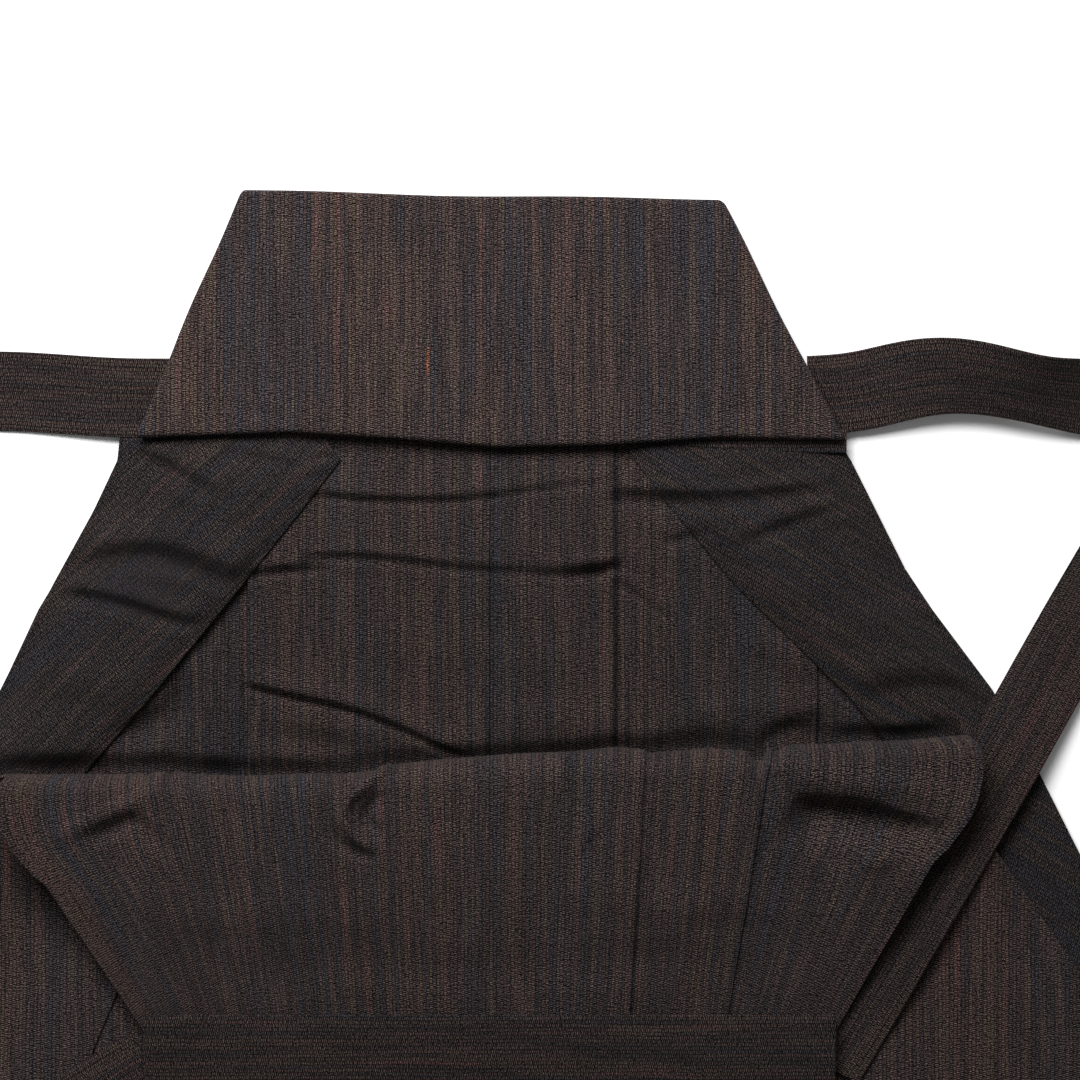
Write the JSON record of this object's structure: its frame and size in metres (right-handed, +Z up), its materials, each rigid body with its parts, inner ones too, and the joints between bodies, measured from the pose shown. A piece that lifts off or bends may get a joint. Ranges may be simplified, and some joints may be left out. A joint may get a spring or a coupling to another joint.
{
  "type": "hakama trousers",
  "caption": "Pleated, divided hakama trousers in dark striped cloth, laid flat on their back with the front waist turned down, a stiff back board and long ties.",
  "frame": {"origin": "middle of the footprint, on the surface that the garment lies on", "axes": "+Z up from the surface, +Y from the hem towards the back board, +X to the right as seen from above"},
  "size_m": [0.7938, 0.9808, 0.0273],
  "materials": {
    "striped_cloth": "matte irregular striped weave",
    "turned_cloth": "matte, wrong side of the same cloth",
    "board_cloth": "matte striped weave over a stiff board",
    "tie_cloth": "matte striped weave, doubled"
  },
  "bodies": {
    "root": {"koshi_ita": "board_cloth", "back_waist_band": "striped_cloth", "back_tie_left": "tie_cloth", "back_tie_right": "tie_cloth", "back_left": "striped_cloth", "back_right": "striped_cloth", "back_pleat": "striped_cloth", "back_centre_left": "striped_cloth", "back_centre_right": "striped_cloth", "back_flap_left": "turned_cloth", "back_flap_right": "turned_cloth", "front_leg_1": "striped_cloth", "front_leg_2": "striped_cloth", "front_leg_3": "striped_cloth", "front_leg_4": "striped_cloth", "front_leg_5": "striped_cloth", "front_turn_1": "striped_cloth", "front_turn_2": "striped_cloth", "front_turn_3": "striped_cloth", "front_turn_4": "striped_cloth", "front_turn_5": "striped_cloth", "fold_core": "striped_cloth", "front_waist_band": "striped_cloth", "front_tie_left": "tie_cloth", "front_tie_right": "tie_cloth"}
  },
  "joints": []
}
